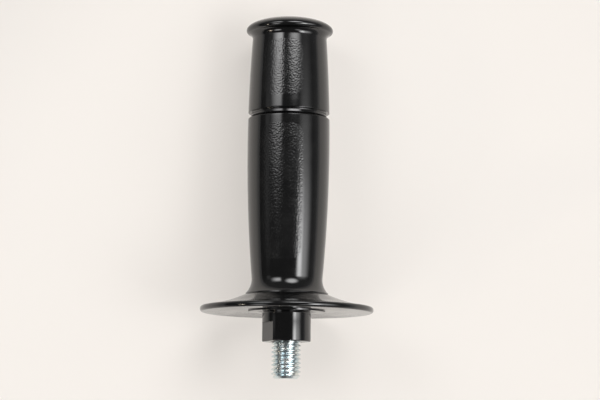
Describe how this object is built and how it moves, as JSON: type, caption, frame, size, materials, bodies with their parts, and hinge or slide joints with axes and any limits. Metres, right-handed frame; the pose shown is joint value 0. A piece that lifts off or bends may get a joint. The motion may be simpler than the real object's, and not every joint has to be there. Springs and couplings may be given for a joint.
{
  "type": "power tool side handle",
  "caption": "Screw-in side handle for a power tool: a barrel-shaped grip with a flared end, a round guard flange and a threaded steel stud.",
  "frame": {"origin": "centre of the seat, the end face of the wrench boss, where the stud leaves the moulding", "axes": "+Y along the handle towards its flared end, -Y along the stud, +Z the side seen in the picture"},
  "size_m": [0.071, 0.1492, 0.071],
  "materials": {
    "black_moulding": "glossy black moulding with a fine grain in two panels",
    "zinc_steel": "bright bluish zinc plating on a rolled thread"
  },
  "bodies": {
    "root": {"handle": "black_moulding", "stud": "zinc_steel"}
  },
  "joints": []
}
